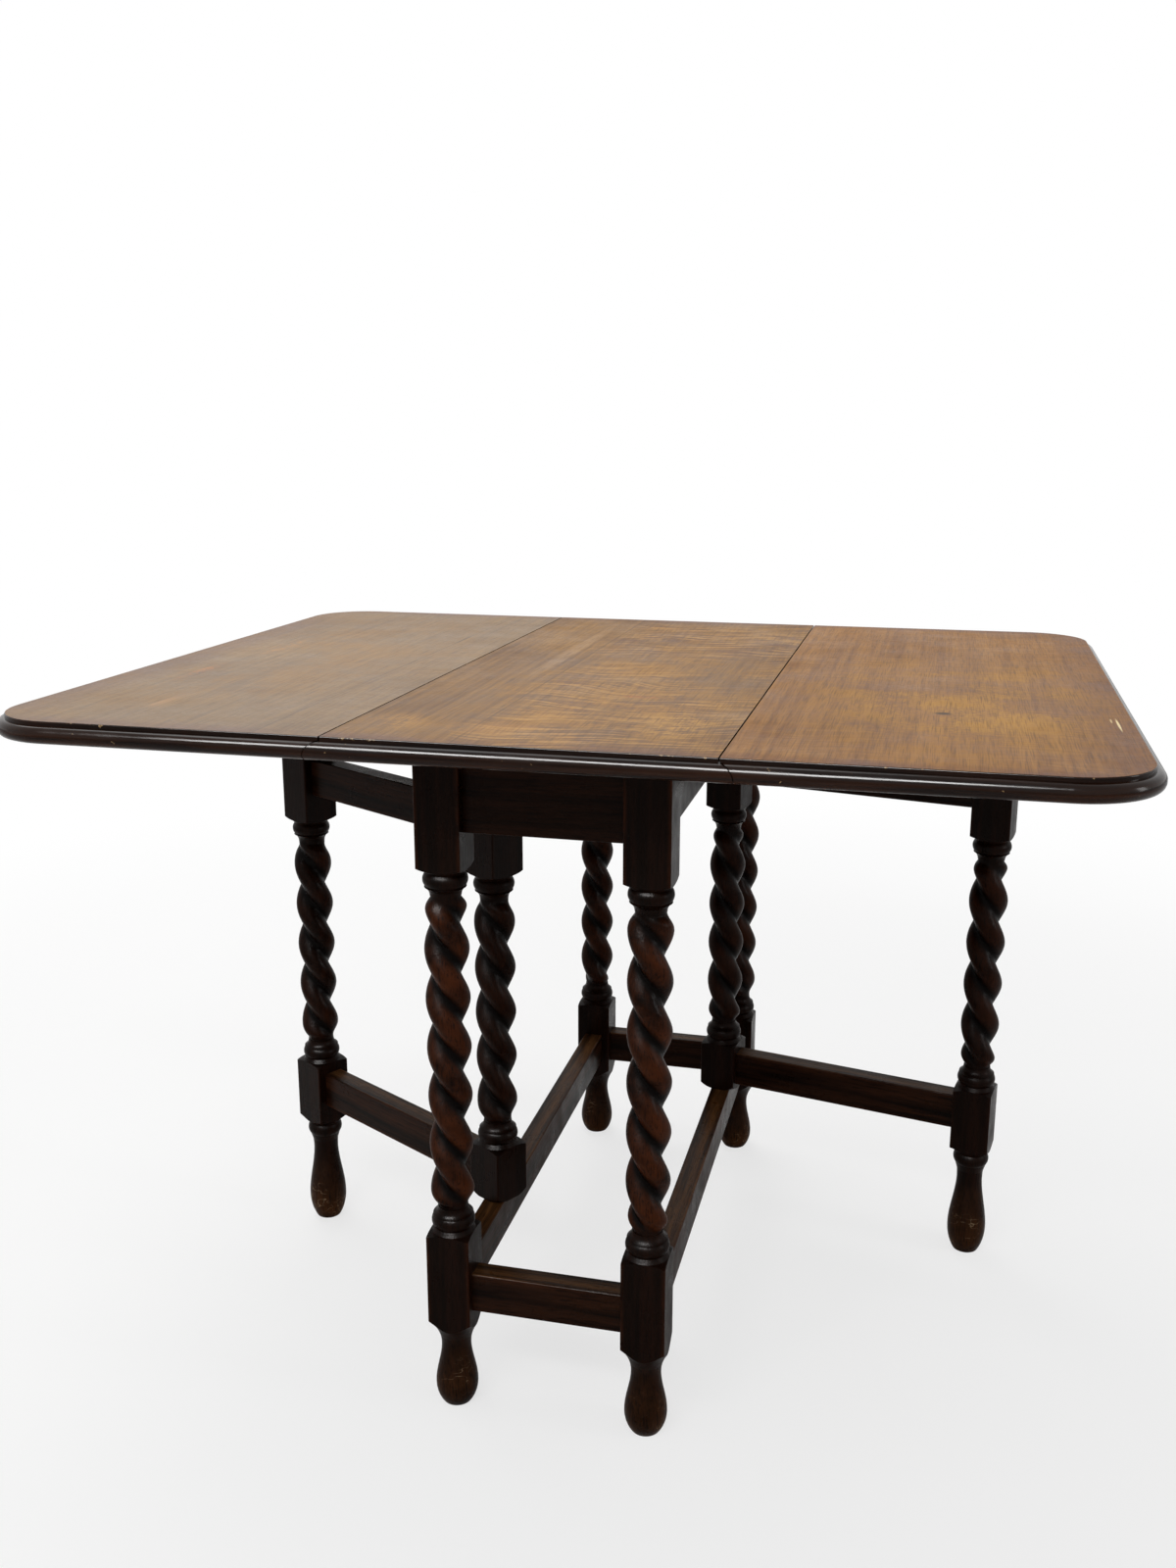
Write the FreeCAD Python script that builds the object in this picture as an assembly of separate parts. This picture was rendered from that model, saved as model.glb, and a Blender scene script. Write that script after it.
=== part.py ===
import FreeCAD, Part
import math
import os

# Top, over the nosing, with both leaves up
table_height = 730.0
top_length = 1069.0
top_depth = 856.0
top_thickness = 21.0
corner_radius = 78.0
raised_height = 4.5
nosing_inset = 8.4
nosing_rounding = 7.6
top_edge_rounding = 1.2

# Rule joints between the centre and the leaves
centre_half_width = 176.9
pin_rise = 3.0
cove_clearance = 0.8
lip_gap = 1.5

# Back-flap hinges under the rule joints
hinge_width = 38.0
hinge_offset = 250.0
plate_thickness = 2.0
centre_flap = 30.0
leaf_flap = 59.0
barrel_radius = 2.8
pin_radius = 1.5
pin_clearance = 0.05
knuckle_gap = 0.4
barrel_clearance = 1.0
flap_clearance = 0.5
screw_head_radius = 3.2
screw_shank_radius = 1.6
screw_head_height = 1.8
screw_length = 13.0
slot_width = 0.9
slot_depth = 0.8
screw_spread_share = 0.32
screw_near_share = 0.45
screw_far_share = 0.78

# Leg stock and places
leg_side = 45.0
leg_across = 101.0
leg_along = 313.0
arris_rounding = 1.5
clear_radius = 33.0

# Turned foot of the fixed legs
foot_base_radius = 15.0
foot_bulge_radius = 22.0
foot_bulge_height = 21.0
ankle_radius = 15.5
ankle_height = 62.0
flare_radius = 17.0
flare_height = 78.0
shoulder_radius = 22.5
shoulder_height = 90.0
fixed_block_bottom = 102.0

# Club foot of the gate legs
club_radius = 22.0
club_height = 20.0
club_taper_radius = 19.0
club_taper_height = 64.0
club_neck_radius = 15.8
club_neck_height = 108.0
foot_bead_radius = 21.0
foot_bead_side_radius = 18.6
foot_bead_half_height = 7.0
foot_bead_height = 124.0
gate_block_bottom = 141.0

# Blocks and turned ends of every leg
fixed_block_top = 194.5
fixed_block_drop = 34.0
gate_block_top = 213.5
gate_block_drop = 86.0
pommel_middle_radius = 28.5
pommel_middle_rise = 2.7
pommel_rise = 4.5
quirk_radius = 19.5
collar_radius = 22.2
collar_low_rise = 8.6
collar_rise = 15.2
collar_high_rise = 22.0
fillet_radius = 20.6
fillet_rise = 22.8
cavetto_radius = 16.9
cavetto_rise = 26.4
neck_radius = 15.5
neck_rise = 31.5
post_foot_radius = 24.0
post_foot_middle_rise = 3.0
post_foot_rise = 9.0

# Barley twist
strand_radius = 14.0
strand_offset = 8.0
strand_end_radius = 15.0
valley_share = 0.18
twist_pitch = 103.4
twist_fade = 17.0
twist_sink = 1.0
section_points = 28
sections_per_turn = 16

# Rails, aprons and stretchers
apron_height = 87.0
apron_thickness = 20.0
stretcher_bottom = 113.0
stretcher_height = 42.0
stretcher_thickness = 24.0
gate_rail_height = 43.0
gate_rail_thickness = 24.0
gate_low_rail_bottom = 162.0
gate_rail_drop = 13.0
rail_rounding = 1.5
tenon_length = 17.0
tenon_thickness = 8.0
tenon_shoulder = 6.0

# Gates
left_pivot_along = -160.0
right_pivot_along = 180.0
gate_reach = 325.0
left_gate_angle = 150.55
right_gate_angle = -11.7
dowel_tenon_gap = 0.5
dowel_in_post = 25.0
dowel_in_rail = 22.0
dowel_clearance = 0.05
dowel_end_room = 0.6
pivot_gap = 0.4
leaf_gap = 0.3

# Screws that hold the top to the frame
pocket_width = 18.0
pocket_depth = 11.0
pocket_height = 32.0
pocket_ledge = 22.0
fixing_inset = 5.5
fixing_radius = 2.0
fixing_head_radius = 4.0
fixing_head_height = 2.4
fixing_bite = 14.0
apron_fixing_offset = 42.0
side_fixing_offset = 205.0

cut_overrun = 5.0

left_twist_angles = {"front": 145.1, "back": 37.4}
right_twist_angles = {"front": 83.9, "back": 162.6}
left_gate_twist_angle = 88.15
right_gate_leg_twist_angle = 150.0
right_gate_post_twist_angle = 164.3

underside = table_height - top_thickness
step_height = table_height - raised_height
pin_height = underside + pin_rise
ovolo_radius = step_height - pin_height
leg_half = leg_side / 2
dowel_radius = leg_half - tenon_length - dowel_tenon_gap
apron_bottom = underside - apron_height
fixed_upper_block = apron_bottom - fixed_block_drop
gate_upper_block = apron_bottom - gate_block_drop
gate_top_rail_bottom = apron_bottom - gate_rail_drop - gate_rail_height
stretcher_top = stretcher_bottom + stretcher_height
post_bottom = stretcher_top + pivot_gap
post_top = apron_bottom - pivot_gap
gate_leg_top = underside - leaf_gap
up = FreeCAD.Vector(0, 0, 1)


def point(x, y, z):
    return FreeCAD.Vector(x, y, z)


def box(low, high):
    return Part.makeBox(high[0] - low[0], high[1] - low[1], high[2] - low[2], point(*low))


def moved(shape, x, y, z):
    placed = shape.copy()
    placed.translate(point(x, y, z))
    return placed


def turned_about(shape, angle):
    placed = shape.copy()
    placed.rotate(point(0, 0, 0), up, angle)
    return placed


def mirrored(shape):
    return shape.mirror(point(0, 0, 0), point(1, 0, 0))


def upright(radius, x, y, low, high):
    return Part.makeCylinder(radius, high - low, point(x, y, low))


def rounded_plate(length, depth, radius, low, high):
    plate = box((-length / 2, -depth / 2, low), (length / 2, depth / 2, high))
    corners = [edge for edge in plate.Edges if abs(edge.tangentAt(edge.FirstParameter).z) > 0.5]
    return plate.makeFillet(radius, corners)


def level_edges(shape, height):
    near = top_edge_rounding / sections_per_turn
    return [edge for edge in shape.Edges if abs(edge.BoundBox.ZMin - height) < near
            and abs(edge.BoundBox.ZMax - height) < near]


# Whole top with its stepped half-round edge
def whole_top():
    nosed = rounded_plate(top_length, top_depth, corner_radius, underside, step_height)
    nosed = nosed.makeFillet(nosing_rounding, level_edges(nosed, underside) + level_edges(nosed, step_height))
    length = top_length - 2 * nosing_inset
    depth = top_depth - 2 * nosing_inset
    raised = rounded_plate(length, depth, corner_radius - nosing_inset, pin_height, table_height)
    raised = raised.makeFillet(top_edge_rounding, level_edges(raised, table_height))
    return nosed.fuse(raised).removeSplitter()


# Solid bounded by the rounded edge of a rule joint on the right side
def rule_side(radius, gap):
    lip = math.sqrt(radius ** 2 - gap ** 2)
    slope = math.atan2(lip, gap) / 2
    seam = centre_half_width
    high = table_height + cut_overrun
    low = underside - cut_overrun
    back = -top_depth / 2 - cut_overrun
    corner = point(seam + gap, back, pin_height + lip)
    middle = point(seam + radius * math.cos(slope), back, pin_height + radius * math.sin(slope))
    tail = point(seam + radius, back, pin_height)
    spots = [tail, point(seam + radius, back, low), point(0, back, low), point(0, back, high)]
    spots = spots + [point(seam + gap, back, high), corner]
    edges = [Part.makeLine(first, second) for first, second in zip(spots, spots[1:])]
    edges.append(Part.Arc(corner, middle, tail).toShape())
    face = Part.Face(Part.Wire(edges))
    return face.extrude(point(0, top_depth + 2 * cut_overrun, 0))


def top_panels():
    whole = whole_top()
    centre_right = whole.common(rule_side(ovolo_radius, 0))
    centre = centre_right.fuse(mirrored(centre_right)).removeSplitter()
    beyond = box((0, -top_depth, 0), (top_length, top_depth, 2 * table_height))
    leaf = whole.common(beyond).cut(rule_side(ovolo_radius + cove_clearance, lip_gap))
    return centre, leaf


# Hinges, made at the right-hand seam
def wood_screw(x, y):
    head = Part.makeCone(screw_head_radius, screw_shank_radius, screw_head_height, point(x, y, underside))
    shank = upright(screw_shank_radius, x, y, underside + screw_head_height, underside + screw_length)
    return head.fuse(shank).removeSplitter()


def slotted(screw, x, y):
    half = slot_width / 2
    low = (x - screw_head_radius, y - half, underside - slot_depth)
    high = (x + screw_head_radius, y + half, underside + slot_depth)
    return screw.cut(box(low, high))


def flap_screw_spots(reach, y, near):
    spread = hinge_width * screw_spread_share
    far = reach * screw_far_share
    close = reach * near
    return [(close, y - spread), (close, y + spread), (far, y)]


def knuckle(y_low, y_high):
    length = y_high - y_low
    spot = point(centre_half_width, y_low, pin_height)
    return Part.makeCylinder(barrel_radius, length, spot, point(0, 1, 0))


def pin_rod(radius, y):
    half = hinge_width / 2
    spot = point(centre_half_width, y - half, pin_height)
    return Part.makeCylinder(radius, hinge_width, spot, point(0, 1, 0))


def centre_plate(y):
    half = hinge_width / 2
    third = hinge_width / 6
    seam = centre_half_width
    plate = box((seam - centre_flap, y - half, underside), (seam, y + half, underside + plate_thickness))
    room = barrel_radius + flap_clearance
    middle = third + knuckle_gap / 2
    gap = box((seam - room, y - middle, underside - cut_overrun), (seam + room, y + middle, table_height))
    plate = plate.cut(gap)
    for low, high in ((y - half, y - middle), (y + middle, y + half)):
        plate = plate.fuse(knuckle(low, high))
    return plate.removeSplitter().cut(pin_rod(pin_radius, y))


def leaf_plate(y):
    half = hinge_width / 2
    third = hinge_width / 6
    seam = centre_half_width
    start = seam + barrel_radius + flap_clearance
    high = underside + plate_thickness
    plate = box((start, y - half, underside), (seam + leaf_flap, y + half, high))
    inner = third - knuckle_gap / 2
    tongue = box((seam, y - inner, underside), (start, y + inner, high))
    plate = plate.fuse(tongue).fuse(knuckle(y - inner, y + inner)).removeSplitter()
    return plate.cut(pin_rod(pin_radius + pin_clearance, y))


def barrel_pocket(y):
    half = hinge_width / 2
    seam = centre_half_width
    room = barrel_radius + barrel_clearance
    low = (seam - room, y - half - flap_clearance, underside - cut_overrun)
    high = (seam + ovolo_radius + cut_overrun, y + half + flap_clearance, pin_height + room)
    return box(low, high)


# Turned work
def turned(runs):
    edges = []
    for run in runs:
        spots = [point(radius, 0, height) for radius, height in run]
        if len(spots) == 2:
            edges.append(Part.makeLine(spots[0], spots[1]))
        elif len(spots) == 3:
            edges.append(Part.Arc(spots[0], spots[1], spots[2]).toShape())
        else:
            curve = Part.BSplineCurve()
            curve.interpolate(spots)
            edges.append(curve.toShape())
    first = runs[0][0]
    last = runs[-1][-1]
    low = point(0, 0, first[1])
    high = point(0, 0, last[1])
    edges.insert(0, Part.makeLine(low, point(first[0], 0, first[1])))
    edges.append(Part.makeLine(point(last[0], 0, last[1]), high))
    edges.append(Part.makeLine(high, low))
    face = Part.Face(Part.Wire(edges))
    return face.revolve(point(0, 0, 0), up, 360)


def block_end_runs(start):
    corner = (clear_radius, start)
    middle = (pommel_middle_radius, start + pommel_middle_rise)
    pommel = (shoulder_radius, start + pommel_rise)
    low = (quirk_radius, start + collar_low_rise)
    ring = (collar_radius, start + collar_rise)
    high = (quirk_radius, start + collar_high_rise)
    fillet = (fillet_radius, start + fillet_rise)
    hollow = (cavetto_radius, start + cavetto_rise)
    neck = (neck_radius, start + neck_rise)
    return [[corner, middle, pommel], [pommel, low], [low, ring, high], [high, fillet], [fillet, hollow, neck]]


def flipped(runs, start):
    return [[(radius, 2 * start - height) for radius, height in reversed(run)] for run in reversed(runs)]


def fixed_foot_runs():
    base = (foot_base_radius, 0)
    bulge = (foot_bulge_radius, foot_bulge_height)
    ankle = (ankle_radius, ankle_height)
    flare = (flare_radius, flare_height)
    shoulder = (shoulder_radius, shoulder_height)
    return [[base, bulge, ankle, flare], [flare, shoulder, (clear_radius, fixed_block_bottom)]]


def gate_foot_runs():
    base = (foot_base_radius, 0)
    club = (club_radius, club_height)
    taper = (club_taper_radius, club_taper_height)
    neck = (club_neck_radius, club_neck_height)
    low = (foot_bead_side_radius, foot_bead_height - foot_bead_half_height)
    bead = (foot_bead_radius, foot_bead_height)
    high = (foot_bead_side_radius, foot_bead_height + foot_bead_half_height)
    middle = (shoulder_radius, (high[1] + gate_block_bottom) / 2)
    return [[base, club, taper, neck], [neck, low], [low, bead, high], [high, middle, (clear_radius, gate_block_bottom)]]


def post_foot_runs():
    base = (post_foot_radius, post_bottom)
    middle = (pommel_middle_radius, post_bottom + post_foot_middle_rise)
    return [[base, middle, (clear_radius, post_bottom + post_foot_rise)]]


def twist_ring(height, share, phase):
    radius = strand_end_radius + (strand_radius - strand_end_radius) * share
    offset = strand_offset * share
    spots = []
    for step in range(section_points + 1):
        angle = 2 * math.pi * (step % section_points) / section_points
        lobe = offset * math.sqrt(math.cos(angle) ** 2 + valley_share ** 2)
        reach = lobe + math.sqrt(radius ** 2 - (offset * math.sin(angle)) ** 2)
        turn = angle + math.radians(phase - 360 * height / twist_pitch)
        spots.append(point(reach * math.cos(turn), reach * math.sin(turn), height))
    return spots


def twist(low, high, phase):
    count = math.ceil((high - low) / twist_pitch * sections_per_turn)
    rings = []
    for step in range(count + 1):
        height = low + (high - low) * step / count
        share = min(1, (height - low) / twist_fade, (high - height) / twist_fade)
        share = share * share * (3 - 2 * share)
        rings.append(twist_ring(height, share, phase))
    surface = Part.BSplineSurface()
    surface.interpolate(rings)
    side = surface.toShape()
    caps = [Part.Face(Part.Wire(level_edges(side, height))) for height in (low, high)]
    shell = Part.makeShell([side] + caps)
    shell.sewShape()
    return Part.Solid(shell)


def leg(foot_runs, block_bottom, block_top, upper_block, top, phase):
    foot = foot_runs[0][0][1]
    square = box((-leg_half, -leg_half, foot), (leg_half, leg_half, top))
    arrises = [edge for edge in square.Edges if abs(edge.tangentAt(edge.FirstParameter).z) > 0.5]
    square = square.makeFillet(arris_rounding, arrises)
    lower_runs = foot_runs + [[(clear_radius, block_bottom), (clear_radius, block_top)]]
    lower = turned(lower_runs + block_end_runs(block_top))
    upper_runs = flipped(block_end_runs(upper_block), upper_block)
    upper = turned(upper_runs + [[(clear_radius, upper_block), (clear_radius, top)]])
    neck = block_top + neck_rise - twist_sink
    throat = upper_block - neck_rise + twist_sink
    body = square.common(lower).fuse([twist(neck, throat, phase), square.common(upper)])
    return body.removeSplitter()


# Rail with a tenon at each end, lying along X from its middle, its underside at zero
def rail(clear_length, height, thickness):
    half = clear_length / 2
    body = box((-half, -thickness / 2, 0), (half, thickness / 2, height))
    lengthwise = [edge for edge in body.Edges if abs(edge.tangentAt(edge.FirstParameter).x) > 0.5]
    body = body.makeFillet(rail_rounding, lengthwise)
    reach = half + tenon_length
    low = (-reach, -tenon_thickness / 2, tenon_shoulder)
    high = (reach, tenon_thickness / 2, height - tenon_shoulder)
    return body.fuse(box(low, high)).removeSplitter()


def fixing_screw(x, y):
    seat = underside - pocket_ledge
    shank = upright(fixing_radius, x, y, seat, underside + fixing_bite)
    head = upright(fixing_head_radius, x, y, seat - fixing_head_height, seat)
    half = slot_width / 2
    low = (x - fixing_head_radius, y - half, seat - fixing_head_height - slot_depth)
    high = (x + fixing_head_radius, y + half, seat - fixing_head_height + slot_depth)
    return head.fuse(shank).removeSplitter().cut(box(low, high))


def fixing_pocket(x, y, inward_x, inward_y):
    seat = underside - pocket_ledge
    half = pocket_width / 2
    reach = pocket_depth + cut_overrun
    near = pocket_depth - fixing_inset
    low_x = x - near if inward_x > 0 else (x + near - reach if inward_x < 0 else x - half)
    low_y = y - near if inward_y > 0 else (y + near - reach if inward_y < 0 else y - half)
    size_x = reach if inward_x else pocket_width
    size_y = reach if inward_y else pocket_width
    return Part.makeBox(size_x, size_y, pocket_height, point(low_x, low_y, seat - pocket_height))


# Frame under the centre panel
def build_frame(parts):
    aprons = rail(2 * leg_across - leg_side, apron_height, apron_thickness)
    sides = turned_about(rail(2 * leg_along - leg_side, apron_height, apron_thickness), 90)
    ends = rail(2 * leg_across - leg_side, stretcher_height, stretcher_thickness)
    lengths = turned_about(rail(2 * leg_along - leg_side, stretcher_height, stretcher_thickness), 90)
    parts["front_apron"] = moved(aprons, 0, -leg_along, apron_bottom)
    parts["back_apron"] = moved(aprons, 0, leg_along, apron_bottom)
    parts["left_side_rail"] = moved(sides, -leg_across, 0, apron_bottom)
    parts["right_side_rail"] = moved(sides, leg_across, 0, apron_bottom)
    parts["front_stretcher"] = moved(ends, 0, -leg_along, stretcher_bottom)
    parts["back_stretcher"] = moved(ends, 0, leg_along, stretcher_bottom)
    parts["left_stretcher"] = moved(lengths, -leg_across, 0, stretcher_bottom)
    parts["right_stretcher"] = moved(lengths, leg_across, 0, stretcher_bottom)
    rails = [parts[name] for name in list(parts)]
    for side, phases, x in (("left", left_twist_angles, -leg_across), ("right", right_twist_angles, leg_across)):
        for end, y in (("front", -leg_along), ("back", leg_along)):
            post = leg(fixed_foot_runs(), fixed_block_bottom, fixed_block_top, fixed_upper_block, underside,
                       phases[end])
            parts[end + "_" + side + "_leg"] = moved(post, x, y, 0).cut(rails)


def build_fixings(parts):
    inner = apron_thickness / 2 - fixing_inset
    spots = []
    for end, sign in (("front", -1), ("back", 1)):
        for offset in (-apron_fixing_offset, apron_fixing_offset):
            spots.append((end + "_apron", offset, sign * (leg_along - inner), 0, -sign))
    for side, sign in (("left", -1), ("right", 1)):
        for offset in (-side_fixing_offset, side_fixing_offset):
            spots.append((side + "_side_rail", sign * (leg_across - inner), offset, -sign, 0))
    screws = []
    for name, x, y, inward_x, inward_y in spots:
        screw = fixing_screw(x, y)
        screws.append(screw)
        parts[name] = parts[name].cut([fixing_pocket(x, y, inward_x, inward_y), screw])
        parts["centre_top"] = parts["centre_top"].cut(screw)
    parts["top_fixing_screws"] = Part.makeCompound(screws)


# Leaves and their hinges
def build_hinges(parts, centre, leaf):
    top_plates = []
    leaf_plates = []
    pins = []
    top_screws = []
    leaf_screws = []
    for y in (-hinge_offset, hinge_offset):
        top_spots = [(centre_half_width - x, at) for x, at in flap_screw_spots(centre_flap, y, screw_near_share)]
        leaf_spots = [(centre_half_width + x, at) for x, at in flap_screw_spots(leaf_flap, y, screw_near_share)]
        plain_top = [wood_screw(x, at) for x, at in top_spots]
        plain_leaf = [wood_screw(x, at) for x, at in leaf_spots]
        fixed_flap = centre_plate(y)
        loose_flap = leaf_plate(y)
        centre = centre.cut([barrel_pocket(y), fixed_flap] + plain_top)
        leaf = leaf.cut([loose_flap] + plain_leaf)
        top_plates.append(fixed_flap.cut(plain_top))
        leaf_plates.append(loose_flap.cut(plain_leaf))
        pins.append(pin_rod(pin_radius, y))
        top_screws += [slotted(screw, x, at) for screw, (x, at) in zip(plain_top, top_spots)]
        leaf_screws += [slotted(screw, x, at) for screw, (x, at) in zip(plain_leaf, leaf_spots)]
    right = {"leaf": leaf, "hinge_top_plates": Part.makeCompound(top_plates)}
    right["hinge_leaf_plates"] = Part.makeCompound(leaf_plates)
    right["hinge_pins"] = Part.makeCompound(pins)
    right["leaf_hinge_screws"] = Part.makeCompound(leaf_screws)
    for name, shape in right.items():
        parts["right_" + name] = shape
        parts["left_" + name] = mirrored(shape)
    parts["top_hinge_screws"] = Part.makeCompound(top_screws + [mirrored(screw) for screw in top_screws])
    half = box((0, -top_depth, 0), (top_length, top_depth, 2 * table_height))
    right_half = centre.common(half)
    parts["centre_top"] = right_half.fuse(mirrored(right_half)).removeSplitter()


# Gates, made with the pivot at the origin and the gate along X
def gate_pieces(leg_phase, post_phase):
    clear_length = gate_reach - leg_side
    cross = rail(clear_length, gate_rail_height, gate_rail_thickness)
    pieces = {"top_rail": moved(cross, gate_reach / 2, 0, gate_top_rail_bottom)}
    pieces["bottom_rail"] = moved(cross, gate_reach / 2, 0, gate_low_rail_bottom)
    rails = list(pieces.values())
    outer = leg(gate_foot_runs(), gate_block_bottom, gate_block_top, gate_upper_block, gate_leg_top, leg_phase)
    pieces["leg"] = moved(outer, gate_reach, 0, 0).cut(rails)
    post = leg(post_foot_runs(), post_bottom + post_foot_rise, gate_block_top, gate_upper_block, post_top, post_phase)
    pieces["top_pivot"] = upright(dowel_radius, 0, 0, post_top - dowel_in_post, apron_bottom + dowel_in_rail)
    pieces["bottom_pivot"] = upright(dowel_radius, 0, 0, stretcher_top - dowel_in_rail, post_bottom + dowel_in_post)
    pieces["post"] = post.cut(rails + [pieces["top_pivot"], pieces["bottom_pivot"]])
    return pieces


def build_gate(parts, side, x, y, turn, leg_phase, post_phase):
    for name, shape in gate_pieces(leg_phase, post_phase).items():
        parts[side + "_gate_" + name] = moved(turned_about(shape, turn), x, y, 0)
    bore = dowel_radius + dowel_clearance
    depth = dowel_in_rail + dowel_end_room
    rail_bore = upright(bore, x, y, apron_bottom - cut_overrun, apron_bottom + depth)
    stretcher_bore = upright(bore, x, y, stretcher_top - depth, stretcher_top + cut_overrun)
    parts[side + "_side_rail"] = parts[side + "_side_rail"].cut(rail_bore)
    parts[side + "_stretcher"] = parts[side + "_stretcher"].cut(stretcher_bore)


parts = {}
build_frame(parts)
centre_panel, leaf_panel = top_panels()
build_hinges(parts, centre_panel, leaf_panel)
build_fixings(parts)
build_gate(parts, "left", -leg_across, left_pivot_along, left_gate_angle, left_gate_twist_angle, left_gate_twist_angle)
build_gate(parts, "right", leg_across, right_pivot_along, right_gate_angle, right_gate_leg_twist_angle,
           right_gate_post_twist_angle)

os.makedirs("parts", exist_ok=True)
for name, shape in parts.items():
    print(name, len(shape.Solids), shape.isValid(), round(shape.Volume))
    shape.exportStep("parts/" + name + ".step")
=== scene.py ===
import math
import bmesh
import bpy
from mathutils import Euler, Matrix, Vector

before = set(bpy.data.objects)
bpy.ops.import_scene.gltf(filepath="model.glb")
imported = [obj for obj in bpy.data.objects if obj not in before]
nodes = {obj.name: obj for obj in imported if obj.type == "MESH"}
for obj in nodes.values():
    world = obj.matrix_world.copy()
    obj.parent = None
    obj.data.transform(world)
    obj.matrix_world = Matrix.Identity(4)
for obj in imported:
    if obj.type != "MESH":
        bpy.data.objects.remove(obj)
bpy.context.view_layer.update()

mm = 0.001
colourA, colourB = 6, 7  # the two colour sockets of a Mix node
print("frame loaded:", len(nodes), "nodes")


def tone(hexCode):  # sRGB hex to linear RGBA
    channels = [int(hexCode[i:i + 2], 16) / 255 for i in (1, 3, 5)]
    return [c / 12.92 if c <= 0.04045 else ((c + 0.055) / 1.055) ** 2.4 for c in channels] + [1.0]


def addNode(tree, kind, inputs=None, **settings):
    node = tree.nodes.new(kind)
    for name, value in settings.items():
        setattr(node, name, value)
    for socket, value in (inputs or {}).items():
        if isinstance(value, bpy.types.Node):  # a node stands for its first live output
            value = next(output for output in value.outputs if output.enabled)
        if isinstance(value, bpy.types.NodeSocket):
            tree.links.new(value, node.inputs[socket])
        else:
            node.inputs[socket].default_value = value
    return node


def between(low, high, least=0.0, most=1.0):  # limits of a Map Range
    return {"From Min": low, "From Max": high, "To Min": least, "To Max": most}


def perMm(*sizes):  # pattern scale from sizes in mm
    return tuple(1 / (size * mm) for size in sizes)


def awayFrom(x, y, z):  # offset that brings a place in mm to zero
    return (-x * mm, -y * mm, -z * mm)


def newMaterial(name):
    material = bpy.data.materials.new(name)
    material.use_nodes = True
    material.node_tree.nodes.clear()
    return material, material.node_tree


def paint(name, material):
    mesh = nodes[name].data
    mesh.materials.clear()
    mesh.materials.append(material)


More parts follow.
